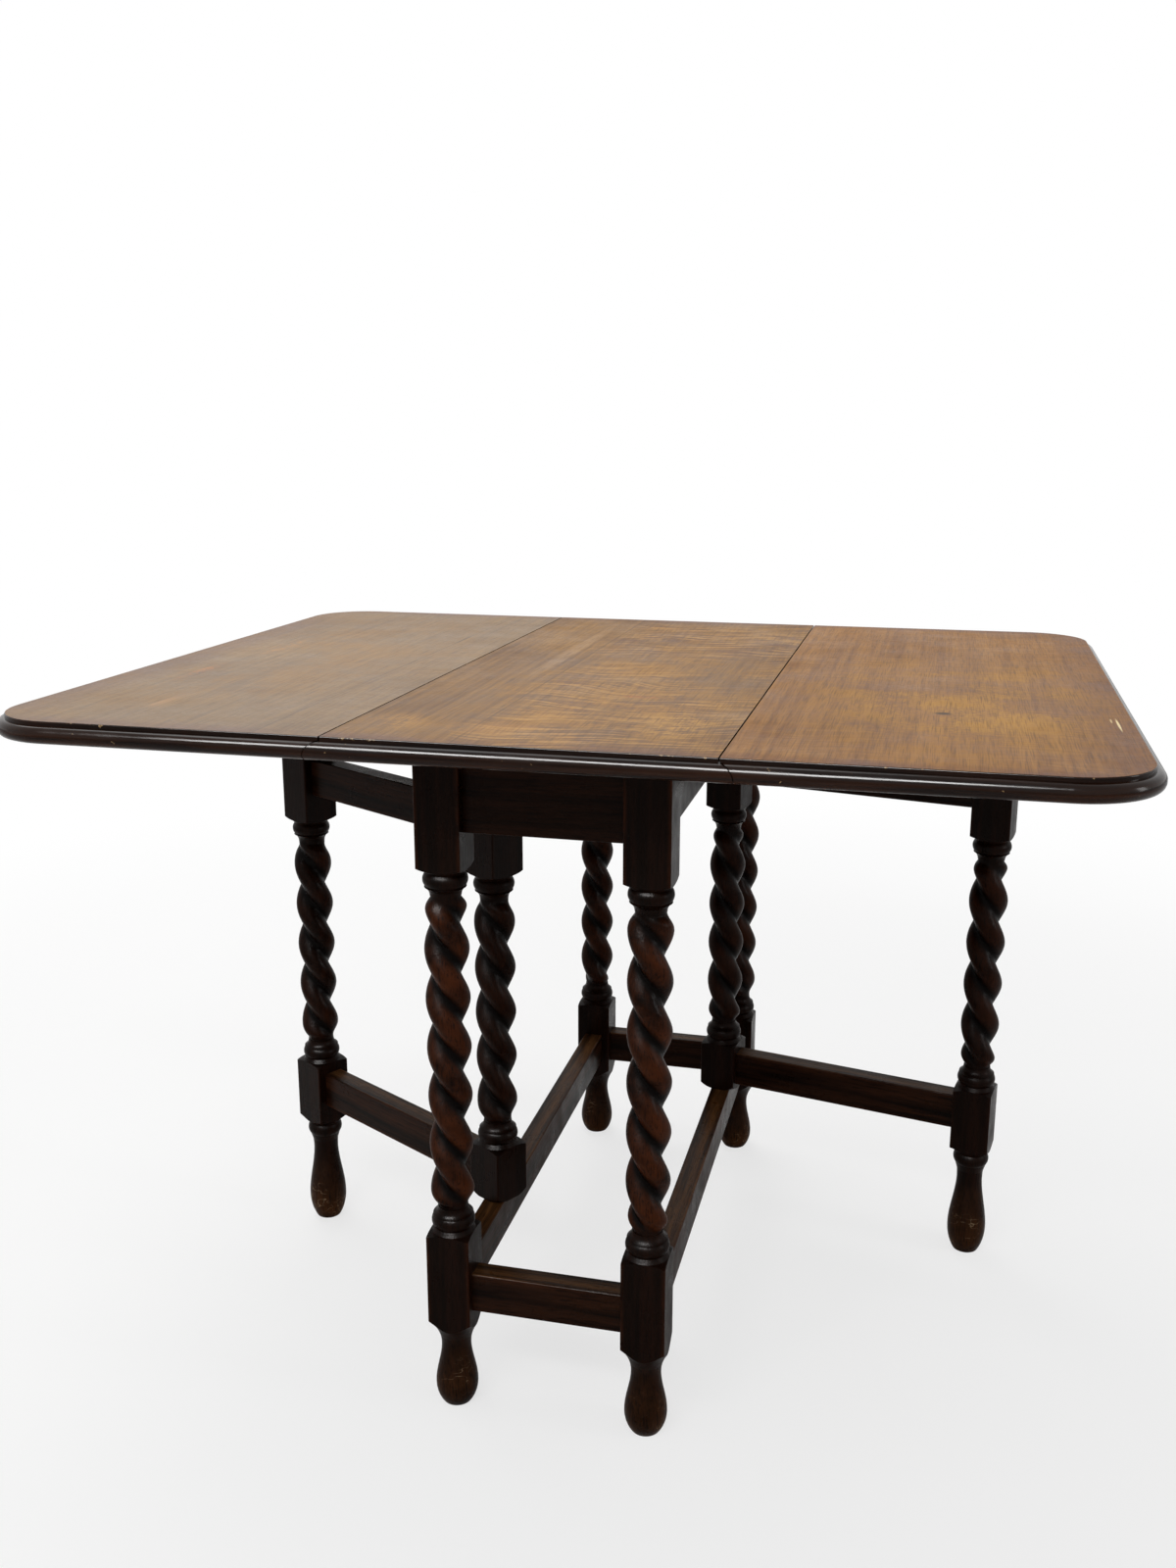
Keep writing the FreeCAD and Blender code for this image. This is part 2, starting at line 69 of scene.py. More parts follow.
# Boards of the top: quarter-sawn oak, stained, waxed and worn. The eye gets long pores along Y, pale
# flecks across the grain, golden patches where the stain has rubbed off and a darker, redder rim.
topBoards = {
    "height": 730, "faceStart": 728.6, "faceNormal": 0.9,
    "poreSize": (1.2, 42, 25),         # mm; coarser than real pores, so that they show
    "poreBand": (0.48, 0.70, 0.0, 0.5),
    "streakSize": (7, 420, 125), "streakBand": (0.72, 1.28),
    "slowSize": 187, "patchSize": 85, "speckSize": 5, "speckShare": 0.45, "patchBand": (0.66, 0.84),
    "fleckSize": (62, 5.5, 1000),      # ray flecks lie across the grain
    "fleckBend": 181.8, "fleckBendReach": 110, "fleckArea": 166.7, "fleckAreaBand": (0.30, 0.55),
    "fleckLight": (0.51, 0.61), "fleckDark": (0.48, 0.38), "plainSide": 0.12, "plainEdge": (-18, 30),
    "wornReach": (1.1, 0.2),
    "halfLength": 526, "halfDepth": 419.6, "rim": 34, "rimShare": (0.6, 0.85), "rimBand": (0.62, 0.36, 0.35),
    "jointHalf": (1.3, 0.3), "jointShare": 0.45, "markEdge": (1.0, 0.35),
    "pore": "#3f2510", "rimTone": "#5b3526", "joint": "#2c170a",
    "roughBand": (0.45, 0.95, 0.34, 0.54), "poreDepth": 0.6, "bump": 0.3, "ior": 1.5,
    "boards": {
        "left_leaf": {
            "dark": "#644a28", "light": "#826336", "gold": "#a1763e", "patch": 0.3, "fleck": 0.14,
            "gloss": 0.22, "seed": 3.1, "joints": [-243], "fleckFrom": None,
            "middle": (-390, 0), "reach": (250, 420)},
        "centre_top": {
            "dark": "#5f3e18", "light": "#8b642c", "gold": "#b88846", "patch": 0.45, "fleck": 0.68,
            "gloss": 0.1, "seed": 0.0, "joints": [-57], "fleckFrom": -57,
            "middle": (40, -160), "reach": (210, 420)},
        "right_leaf": {
            "dark": "#70471d", "light": "#98692f", "gold": "#b5863e", "patch": 0.62, "fleck": 0.16,
            "gloss": 0.08, "seed": 7.7, "joints": [], "fleckFrom": None,
            "middle": (370, -110), "reach": (210, 330)},
    },
    # marks that use has left: place and half size in mm, turn in degrees
    "marks": {
        "left_leaf": [
            {"at": (-449, -130), "half": (9, 75), "turn": 0, "tone": "#b8702c", "share": 0.95, "broken": True},
            {"at": (-440, 60), "half": (16, 85), "turn": 4, "tone": "#b57f3f", "share": 0.8, "broken": True},
            {"at": (-395, -300), "half": (7, 110), "turn": 0, "tone": "#ab8052", "share": 0.5, "broken": True},
            {"at": (-243, 175), "half": (1.6, 55), "turn": 0, "tone": "#2c170a", "share": 0.75, "broken": False},
        ],
        "centre_top": [
            {"at": (118, -290), "half": (44, 85), "turn": -8, "tone": "#c19147", "share": 0.65, "broken": True},
            {"at": (-140, -345), "half": (44, 55), "turn": 0, "tone": "#bb8a45", "share": 0.5, "broken": True},
            {"at": (-20, -355), "half": (90, 40), "turn": 0, "tone": "#b7864a", "share": 0.35, "broken": True},
            {"at": (59, -165), "half": (26, 7), "turn": 0, "tone": "#b3602c", "share": 0.75, "broken": True},
            {"at": (-84, 120), "half": (12, 260), "turn": 1, "tone": "#a98760", "share": 0.40, "broken": False},
        ],
        "right_leaf": [
            {"at": (355, -181), "half": (11, 9), "turn": 20, "tone": "#1d0d05", "share": 0.9, "broken": False},
            {"at": (400, -200), "half": (75, 75), "turn": 0, "tone": "#b3843e", "share": 0.4, "broken": True},
            {"at": (511, -199), "half": (1.5, 38), "turn": 6, "tone": "#f0d9a4", "share": 1.0, "broken": False},
            {"at": (506, -181), "half": (1.2, 13), "turn": 14, "tone": "#e4c78f", "share": 0.9, "broken": False},
        ],
    },
}


def waxedOak(name, board):
    s = topBoards
    material, tree = newMaterial("waxed_oak_" + name)
    place = addNode(tree, "ShaderNodeTexCoord").outputs["Object"]
    split = addNode(tree, "ShaderNodeSeparateXYZ", {0: place})
    shift = (board["seed"], board["seed"] / 2, 0)
    shifted = addNode(tree, "ShaderNodeMapping", {"Vector": place, "Location": shift})

    # growth streaks along the grain over a slow change of tone
    streakSpace = addNode(tree, "ShaderNodeMapping", {"Vector": shifted, "Scale": perMm(*s["streakSize"])})
    streaks = addNode(tree, "ShaderNodeTexNoise", {
        "Vector": streakSpace, "Scale": 1.0, "Detail": 4.0, "Distortion": 0.3})
    slow = addNode(tree, "ShaderNodeTexNoise", {
        "Vector": shifted, "Scale": perMm(s["slowSize"])[0], "Detail": 3.0})
    mixed = addNode(tree, "ShaderNodeMath", {0: streaks, 1: slow}, operation="ADD")
    streakShare = addNode(tree, "ShaderNodeMapRange", {"Value": mixed, **between(*s["streakBand"])})
    colour = addNode(tree, "ShaderNodeMix", {
        "Factor": streakShare, colourA: tone(board["dark"]), colourB: tone(board["light"])}, data_type="RGBA")

    # ray flecks: broken curved ripples across the grain
    warp = addNode(tree, "ShaderNodeTexNoise", {
        "Vector": shifted, "Scale": perMm(s["fleckBend"])[0], "Detail": 1.0})
    warped = addNode(tree, "ShaderNodeVectorMath", {
        0: warp.outputs["Color"], 1: (0, s["fleckBendReach"] * mm, 0), 2: shifted}, operation="MULTIPLY_ADD")
    fleckSpace = addNode(tree, "ShaderNodeMapping", {"Vector": warped, "Scale": perMm(*s["fleckSize"])})
    flecks = addNode(tree, "ShaderNodeTexNoise", {
        "Vector": fleckSpace, "Scale": 1.0, "Detail": 3.0, "Roughness": 0.6})
    fleckArea = addNode(tree, "ShaderNodeTexNoise", {
        "Vector": shifted, "Scale": perMm(s["fleckArea"])[0], "Detail": 2.0})
    fleckZone = addNode(tree, "ShaderNodeMapRange", {
        "Value": fleckArea, **between(*s["fleckAreaBand"], 0.0, board["fleck"])})
    if board["fleckFrom"] is not None:  # only the plank to the right of this joint is figured
        edges = [(board["fleckFrom"] + edge) * mm for edge in s["plainEdge"]]
        figuredSide = addNode(tree, "ShaderNodeMapRange", {
            "Value": split.outputs["X"], **between(*edges, s["plainSide"])})
        fleckZone = addNode(tree, "ShaderNodeMath", {0: fleckZone, 1: figuredSide}, operation="MULTIPLY")
    for band, hexCode in ((s["fleckLight"], board["gold"]), (s["fleckDark"], s["rimTone"])):
        level = addNode(tree, "ShaderNodeMapRange", {"Value": flecks, **between(*band)})
        share = addNode(tree, "ShaderNodeMath", {0: level, 1: fleckZone}, operation="MULTIPLY")
        colour = addNode(tree, "ShaderNodeMix", {
            "Factor": share, colourA: colour, colourB: tone(hexCode)}, data_type="RGBA")

    # golden wear, strongest towards the middle of the board and broken up by specks
    patch = addNode(tree, "ShaderNodeTexNoise", {
        "Vector": shifted, "Scale": perMm(s["patchSize"])[0], "Detail": 6.0, "Roughness": 0.65})
    specks = addNode(tree, "ShaderNodeTexNoise", {
        "Vector": shifted, "Scale": perMm(s["speckSize"])[0], "Detail": 3.0})
    patchSum = addNode(tree, "ShaderNodeMath", {
        0: specks, 1: s["speckShare"], 2: patch}, operation="MULTIPLY_ADD")
    patchShare = addNode(tree, "ShaderNodeMapRange", {"Value": patchSum, **between(*s["patchBand"])})
    middle = addNode(tree, "ShaderNodeVectorMath", {
        0: place, 1: awayFrom(*board["middle"], s["height"])}, operation="ADD")
    spread = addNode(tree, "ShaderNodeVectorMath", {
        0: middle, 1: (*perMm(*board["reach"]), 0)}, operation="MULTIPLY")
    distance = addNode(tree, "ShaderNodeVectorMath", {0: spread}, operation="LENGTH")
    nearMiddle = addNode(tree, "ShaderNodeMapRange", {
        "Value": distance, **between(*s["wornReach"], 0.0, board["patch"])}, interpolation_type="SMOOTHSTEP")
    goldShare = addNode(tree, "ShaderNodeMath", {0: patchShare, 1: nearMiddle}, operation="MULTIPLY")
    colour = addNode(tree, "ShaderNodeMix", {
        "Factor": goldShare, colourA: colour, colourB: tone(board["gold"])}, data_type="RGBA")

    # darker rim along the outer edges
    rims = []
    starts = (s["halfLength"] - 2 * s["rim"], s["halfDepth"] - s["rim"])
    ends = (s["halfLength"], s["halfDepth"])
    for axis, start, end, share in zip("XY", starts, ends, s["rimShare"]):
        over = addNode(tree, "ShaderNodeMath", {0: split.outputs[axis]}, operation="ABSOLUTE")
        rims.append(addNode(tree, "ShaderNodeMapRange", {
            "Value": over, **between(start * mm, end * mm, 0.0, share)}, interpolation_type="SMOOTHSTEP"))
    rim = addNode(tree, "ShaderNodeMath", {0: rims[0], 1: rims[1]}, operation="MAXIMUM")
    rimPatch = addNode(tree, "ShaderNodeMapRange", {"Value": patch, **between(*s["rimBand"])})
    rimShare = addNode(tree, "ShaderNodeMath", {0: rim, 1: rimPatch}, operation="MULTIPLY")
    colour = addNode(tree, "ShaderNodeMix", {
        "Factor": rimShare, colourA: colour, colourB: tone(s["rimTone"])}, data_type="RGBA")

    jointEdges = [half * mm for half in s["jointHalf"]]
    for x in board["joints"]:  # glue line between two planks
        fromJoint = addNode(tree, "ShaderNodeMath", {0: split.outputs["X"], 1: x * mm}, operation="SUBTRACT")
        gap = addNode(tree, "ShaderNodeMath", {0: fromJoint}, operation="ABSOLUTE")
        line = addNode(tree, "ShaderNodeMapRange", {
            "Value": gap, **between(*jointEdges, 0.0, s["jointShare"])})
        colour = addNode(tree, "ShaderNodeMix", {
            "Factor": line, colourA: colour, colourB: tone(s["joint"])}, data_type="RGBA")

    for mark in s["marks"][name]:
        fromMark = addNode(tree, "ShaderNodeVectorMath", {
            0: place, 1: awayFrom(*mark["at"], s["height"])}, operation="ADD")
        turned = addNode(tree, "ShaderNodeMapping", {
            "Vector": fromMark, "Rotation": (0, 0, math.radians(mark["turn"])),
            "Scale": (*perMm(*mark["half"]), 0)}, vector_type="POINT")
        away = addNode(tree, "ShaderNodeVectorMath", {0: turned}, operation="LENGTH")
        share = addNode(tree, "ShaderNodeMapRange", {
            "Value": away, **between(*s["markEdge"], 0.0, mark["share"])}, interpolation_type="SMOOTHSTEP")
        if mark["broken"]:
            share = addNode(tree, "ShaderNodeMath", {0: share, 1: patchShare}, operation="MULTIPLY")
        colour = addNode(tree, "ShaderNodeMix", {
            "Factor": share, colourA: colour, colourB: tone(mark["tone"])}, data_type="RGBA")

    poreSpace = addNode(tree, "ShaderNodeMapping", {"Vector": shifted, "Scale": perMm(*s["poreSize"])})
    pores = addNode(tree, "ShaderNodeTexNoise", {"Vector": poreSpace, "Scale": 1.0, "Detail": 2.0})
    poreShare = addNode(tree, "ShaderNodeMapRange", {"Value": pores, **between(*s["poreBand"])})
    colour = addNode(tree, "ShaderNodeMix", {
        "Factor": poreShare, colourA: colour, colourB: tone(s["pore"])}, data_type="RGBA")

    roughness = addNode(tree, "ShaderNodeMapRange", {"Value": patchSum, **between(*s["roughBand"])})
    bump = addNode(tree, "ShaderNodeBump", {
        "Height": pores, "Strength": s["bump"], "Distance": s["poreDepth"] * mm}, invert=True)
    shader = addNode(tree, "ShaderNodeBsdfPrincipled", {
        "Base Color": colour, "Roughness": roughness, "Normal": bump,
        "IOR": s["ior"], "Specular IOR Level": board["gloss"]})
    addNode(tree, "ShaderNodeOutputMaterial", {"Surface": shader})
    return material


# Moulded edge: the same oak under thick dark polish, glossy, rubbed brown low down and chipped along the rim
mouldedEdge = {
    "stain": "#120602", "rubbed": "#3a1d0b", "chip": "#a88a62", "underside": "#4b3322",
    "streakSize": (130, 130, 5), "streakBand": (0.38, 0.7), "wearSize": 41.667,
    "chipSize": 6, "wearInChips": 0.5, "chipBand": (1.0, 1.05, 0.0, 0.75), "rimChips": 0.09,
    "rimStart": 727.6, "rimEnd": 729.2, "lowStart": 721, "lowEnd": 711, "highShare": 0.35,
    "undersideStart": 709.5, "undersideEnd": 709.1, "undersideRough": 0.7,
    "roughBand": (0.3, 0.7, 0.1, 0.22), "streakDepth": 0.8, "bump": 0.22, "ior": 1.5, "gloss": 0.14,
}


def polishedEdge():
    s = mouldedEdge
    material, tree = newMaterial("polished_oak_edge")
    place = addNode(tree, "ShaderNodeTexCoord").outputs["Object"]
    height = addNode(tree, "ShaderNodeSeparateXYZ", {0: place}).outputs["Z"]

    # brown rubbed streaks, stronger on the lower half of the nosing
    streakSpace = addNode(tree, "ShaderNodeMapping", {"Vector": place, "Scale": perMm(*s["streakSize"])})
    streaks = addNode(tree, "ShaderNodeTexNoise", {"Vector": streakSpace, "Scale": 1.0, "Detail": 4.0})
    wear = addNode(tree, "ShaderNodeTexNoise", {
        "Vector": place, "Scale": perMm(s["wearSize"])[0], "Detail": 4.0})
    low = addNode(tree, "ShaderNodeMapRange", {
        "Value": height, **between(s["lowStart"] * mm, s["lowEnd"] * mm, s["highShare"])})
    streakShare = addNode(tree, "ShaderNodeMapRange", {"Value": streaks, **between(*s["streakBand"])})
    rubShare = addNode(tree, "ShaderNodeMath", {0: streakShare, 1: low}, operation="MULTIPLY")
    colour = addNode(tree, "ShaderNodeMix", {
        "Factor": rubShare, colourA: tone(s["stain"]), colourB: tone(s["rubbed"])}, data_type="RGBA")

    # chips to bare wood, most of them along the rim
    chips = addNode(tree, "ShaderNodeTexNoise", {
        "Vector": place, "Scale": perMm(s["chipSize"])[0], "Detail": 3.0})
    chipSum = addNode(tree, "ShaderNodeMath", {0: wear, 1: s["wearInChips"], 2: chips}, operation="MULTIPLY_ADD")
    onRim = addNode(tree, "ShaderNodeMapRange", {
        "Value": height, **between(s["rimStart"] * mm, s["rimEnd"] * mm, 0.0, s["rimChips"])})
    chipLevel = addNode(tree, "ShaderNodeMath", {0: chipSum, 1: onRim}, operation="ADD")
    chipShare = addNode(tree, "ShaderNodeMapRange", {"Value": chipLevel, **between(*s["chipBand"])})
    colour = addNode(tree, "ShaderNodeMix", {
        "Factor": chipShare, colourA: colour, colourB: tone(s["chip"])}, data_type="RGBA")

    # plain dull wood underneath
    underShare = addNode(tree, "ShaderNodeMapRange", {
        "Value": height, **between(s["undersideStart"] * mm, s["undersideEnd"] * mm)})
    colour = addNode(tree, "ShaderNodeMix", {
        "Factor": underShare, colourA: colour, colourB: tone(s["underside"])}, data_type="RGBA")
    polish = addNode(tree, "ShaderNodeMapRange", {"Value": wear, **between(*s["roughBand"])})
    roughness = addNode(tree, "ShaderNodeMix", {
        "Factor": underShare, 2: polish, 3: s["undersideRough"]}, data_type="FLOAT")
    bump = addNode(tree, "ShaderNodeBump", {
        "Height": streaks, "Strength": s["bump"], "Distance": s["streakDepth"] * mm})
    shader = addNode(tree, "ShaderNodeBsdfPrincipled", {
        "Base Color": colour, "Roughness": roughness, "Normal": bump,
        "IOR": s["ior"], "Specular IOR Level": s["gloss"]})
    addNode(tree, "ShaderNodeOutputMaterial", {"Surface": shader})
    return material


edgeFinish = polishedEdge()
for name, board in topBoards["boards"].items():
    paint(name, waxedOak(name, board))
    mesh = nodes[name].data
    mesh.materials.append(edgeFinish)
    for face in mesh.polygons:
        onFace = face.center.z > topBoards["faceStart"] * mm and face.normal.z > topBoards["faceNormal"]
        face.material_index = 0 if onFace else 1
print("top boards finished")


# Turned and sawn framing: oak under an old near-black stain and polish, its base colours made darker still as
# painted shade for the shadow under the top. The eye gets black hollows, red-brown high spots where hands and feet
# have rubbed it, and lighter scuffed feet.
framing = {
    # stain and stainLight: near-black oak stain, made darker still as painted shade for the shadow under the top
    "stain": "#0c0401", "stainLight": "#1a0a04", "rubbed": "#45200b", "hollow": "#040100",
    "scuffed": "#4a2a10", "upperFaceTone": "#664425", "railBrown": "#3b2010", "scratch": "#9a8468",
    "poreWidth": 1.6, "poreLength": 22, "poreBand": (0.52, 0.7, 0.0, 0.7),
    "streakWidth": 9, "streakLength": 240, "streakBand": (0.35, 0.68),
    "wearSize": 38.46, "wearBand": (0.3, 0.68),
    "crest": (13.6, 19.0),             # radius from hollow to crest of a twist
    "twistEnd": (-6, 10),              # where the rubbing fades out at a twist's ends
    "arris": (28.8, 31.2),             # radius near the corners of a block
    "railArris": 5, "arrisShare": 0.55, "brownShare": 0.6, "railFace": (1.2, 0.2),
    "footTop": 95, "scuffShare": 0.8,
    "scratchSize": (26, 7.5, 7.5), "scratchTurn": (35, 50, 0), "scratchBand": (0.016, 0.004, 0.0, 0.5),
    "scratchWear": (0.52, 0.62), "scratchTop": (66.5, 38),
    "roughBand": (0.3, 0.7, 0.22, 0.42), "poreDepth": 0.8, "bump": 0.3, "ior": 1.48, "gloss": 0.05,
}


# centre in mm, turn in degrees; twist is the heights of its ends, half a rail's half section
def stainedOak(name, centre, turn=0, along="Z", twist=None, half=None, foot=False, rub=0.5):
    s = framing
    material, tree = newMaterial("stained_oak_" + name)
    place = addNode(tree, "ShaderNodeTexCoord").outputs["Object"]
    centred = addNode(tree, "ShaderNodeVectorMath", {0: place, 1: awayFrom(*centre)}, operation="ADD")
    spot = addNode(tree, "ShaderNodeMapping", {"Vector": centred, "Rotation": (0, 0, math.radians(-turn))})
    split = addNode(tree, "ShaderNodeSeparateXYZ", {0: spot})
    height = addNode(tree, "ShaderNodeSeparateXYZ", {0: place}).outputs["Z"]

    fine, long = perMm(s["poreWidth"], s["poreLength"])
    wide, far = perMm(s["streakWidth"], s["streakLength"])
    poreScale = (fine, fine, long) if along == "Z" else (long, fine, fine)
    streakScale = (wide, wide, far) if along == "Z" else (far, wide, wide)
    poreSpace = addNode(tree, "ShaderNodeMapping", {"Vector": spot, "Scale": poreScale})
    streakSpace = addNode(tree, "ShaderNodeMapping", {"Vector": spot, "Scale": streakScale})
    pores = addNode(tree, "ShaderNodeTexNoise", {"Vector": poreSpace, "Scale": 1.0, "Detail": 2.0})
    streaks = addNode(tree, "ShaderNodeTexNoise", {
        "Vector": streakSpace, "Scale": 1.0, "Detail": 3.0, "Distortion": 0.5})
    streakShare = addNode(tree, "ShaderNodeMapRange", {"Value": streaks, **between(*s["streakBand"])})
    colour = addNode(tree, "ShaderNodeMix", {
        "Factor": streakShare, colourA: tone(s["stain"]), colourB: tone(s["stainLight"])}, data_type="RGBA")
    wear = addNode(tree, "ShaderNodeTexNoise", {
        "Vector": place, "Scale": perMm(s["wearSize"])[0], "Detail": 4.0, "Roughness": 0.6})
    wearShare = addNode(tree, "ShaderNodeMapRange", {"Value": wear, **between(*s["wearBand"])})

    flat = addNode(tree, "ShaderNodeVectorMath", {0: spot, 1: (1, 1, 0)}, operation="MULTIPLY")
    radius = addNode(tree, "ShaderNodeVectorMath", {0: flat}, operation="LENGTH")
    if twist:  # black hollows and rubbed crests
        low, high = twist
        fadeOut, fadeIn = s["twistEnd"]
        crest = addNode(tree, "ShaderNodeMapRange", {
            "Value": radius, **between(*(r * mm for r in s["crest"]))}, interpolation_type="SMOOTHSTEP")
        above = addNode(tree, "ShaderNodeMapRange", {
            "Value": height, **between((low + fadeOut) * mm, (low + fadeIn) * mm)})
        below = addNode(tree, "ShaderNodeMapRange", {
            "Value": height, **between((high - fadeOut) * mm, (high - fadeIn) * mm)})
        zone = addNode(tree, "ShaderNodeMath", {0: above, 1: below}, operation="MULTIPLY")
        hollow = addNode(tree, "ShaderNodeMath", {0: 1.0, 1: crest}, operation="SUBTRACT")
        # darker in the hollows of the twist, fading out towards its ends
        hollowDarkening = addNode(tree, "ShaderNodeMath", {0: hollow, 1: zone}, operation="MULTIPLY")
        colour = addNode(tree, "ShaderNodeMix", {
            "Factor": hollowDarkening, colourA: colour, colourB: tone(s["hollow"])}, data_type="RGBA")
        rubbedZone = addNode(tree, "ShaderNodeMath", {0: crest, 1: zone}, operation="MULTIPLY")
        rubbed = addNode(tree, "ShaderNodeMath", {0: rubbedZone, 1: wearShare}, operation="MULTIPLY")
        rubbedShare = addNode(tree, "ShaderNodeMath", {0: rubbed, 1: rub}, operation="MULTIPLY")
        colour = addNode(tree, "ShaderNodeMix", {
            "Factor": rubbedShare, colourA: colour, colourB: tone(s["rubbed"])}, data_type="RGBA")
    if half:   # long corners of a rail, worn to brown, and its upper face made paler brown
        edges = []
        for axis, reach in zip("YZ", half):
            over = addNode(tree, "ShaderNodeMath", {0: split.outputs[axis]}, operation="ABSOLUTE")
            edges.append(addNode(tree, "ShaderNodeMapRange", {
                "Value": over, **between((reach - s["railArris"]) * mm, reach * mm)}))
        arris = addNode(tree, "ShaderNodeMath", {0: edges[0], 1: edges[1]}, operation="MULTIPLY")
        brown = addNode(tree, "ShaderNodeMath", {0: streakShare, 1: rub * s["brownShare"]}, operation="MULTIPLY")
        colour = addNode(tree, "ShaderNodeMix", {
            "Factor": brown, colourA: colour, colourB: tone(s["railBrown"])}, data_type="RGBA")
        faceEdges = [(half[1] - depth) * mm for depth in s["railFace"]]
        # the upper face of a rail is drawn paler brown, in streaks
        upperFace = addNode(tree, "ShaderNodeMapRange", {
            "Value": split.outputs["Z"], **between(*faceEdges, 0.0, rub)})
        upperFaceTone = addNode(tree, "ShaderNodeMath", {0: upperFace, 1: streakShare}, operation="MULTIPLY")
        colour = addNode(tree, "ShaderNodeMix", {
            "Factor": upperFaceTone, colourA: colour, colourB: tone(s["upperFaceTone"])}, data_type="RGBA")
    else:      # corners of a leg block
        arris = addNode(tree, "ShaderNodeMapRange", {
            "Value": radius, **between(*(r * mm for r in s["arris"]))})
    arrisWear = addNode(tree, "ShaderNodeMath", {0: arris, 1: wearShare}, operation="MULTIPLY")
    arrisShare = addNode(tree, "ShaderNodeMath", {0: arrisWear, 1: rub * s["arrisShare"]}, operation="MULTIPLY")
    colour = addNode(tree, "ShaderNodeMix", {
        "Factor": arrisShare, colourA: colour, colourB: tone(s["rubbed"])}, data_type="RGBA")

    if foot:
        footZone = addNode(tree, "ShaderNodeMapRange", {"Value": height, **between(s["footTop"] * mm, 0.0)})
        scuff = addNode(tree, "ShaderNodeMath", {0: footZone, 1: wearShare}, operation="MULTIPLY")
        scuffShare = addNode(tree, "ShaderNodeMath", {0: scuff, 1: s["scuffShare"]}, operation="MULTIPLY")
        colour = addNode(tree, "ShaderNodeMix", {
            "Factor": scuffShare, colourA: colour, colourB: tone(s["scuffed"])}, data_type="RGBA")
        # thin scratches: the middle band of a stretched noise, laid slantwise
        scratchSpace = addNode(tree, "ShaderNodeMapping", {
            "Vector": spot, "Rotation": [math.radians(angle) for angle in s["scratchTurn"]],
            "Scale": perMm(*s["scratchSize"])})
        scratches = addNode(tree, "ShaderNodeTexNoise", {"Vector": scratchSpace, "Scale": 1.0, "Detail": 1.0})
        fromMiddle = addNode(tree, "ShaderNodeMath", {0: scratches, 1: 0.5}, operation="SUBTRACT")
        band = addNode(tree, "ShaderNodeMath", {0: fromMiddle}, operation="ABSOLUTE")
        thin = addNode(tree, "ShaderNodeMapRange", {"Value": band, **between(*s["scratchBand"])})
        worn = addNode(tree, "ShaderNodeMapRange", {"Value": wear, **between(*s["scratchWear"])})
        scratched = addNode(tree, "ShaderNodeMath", {0: thin, 1: worn}, operation="MULTIPLY")
        onFoot = addNode(tree, "ShaderNodeMapRange", {
            "Value": height, **between(*(z * mm for z in s["scratchTop"]))})
        scratchShare = addNode(tree, "ShaderNodeMath", {0: scratched, 1: onFoot}, operation="MULTIPLY")
        colour = addNode(tree, "ShaderNodeMix", {
            "Factor": scratchShare, colourA: colour, colourB: tone(s["scratch"])}, data_type="RGBA")

    poreShare = addNode(tree, "ShaderNodeMapRange", {"Value": pores, **between(*s["poreBand"])})
    colour = addNode(tree, "ShaderNodeMix", {
        "Factor": poreShare, colourA: colour, colourB: tone(s["hollow"])}, data_type="RGBA")
    rough = addNode(tree, "ShaderNodeMapRange", {"Value": wear, **between(*s["roughBand"])})
    bump = addNode(tree, "ShaderNodeBump", {
        "Height": pores, "Strength": s["bump"], "Distance": s["poreDepth"] * mm}, invert=True)
    shader = addNode(tree, "ShaderNodeBsdfPrincipled", {
        "Base Color": colour, "Roughness": rough, "Normal": bump,
        "IOR": s["ior"], "Specular IOR Level": s["gloss"]})
    addNode(tree, "ShaderNodeOutputMaterial", {"Surface": shader})
    return material


# where the pieces stand, in mm and degrees, and how far each has been rubbed
frameSettings = {
    "across": 101, "along": 313, "twist": (226, 556), "legRub": {"front": 0.95, "back": 0.4},
    "apron": {"height": 665.5, "half": (10, 43.5), "rub": 0.3},
    "stretcher": {"height": 134, "half": (12, 21), "rub": 0.8},
}
gateSettings = {
    "pivots": {"left": (-101, -160, 150.55), "right": (101, 180, -11.7)}, "reach": 325,
    "twist": (245, 504), "legRub": 0.3, "postRub": 0.2, "half": (12, 21.5),
    "rails": {"top_rail": {"height": 587.5, "rub": 0.4}, "bottom_rail": {"height": 183.5, "rub": 0.8}},
}
apron, stretcher = frameSettings["apron"], frameSettings["stretcher"]


def paintRail(name, x, y, turn, rail):
    centre = (x, y, rail["height"])
    paint(name, stainedOak(name, centre, turn, along="X", half=rail["half"], rub=rail["rub"]))


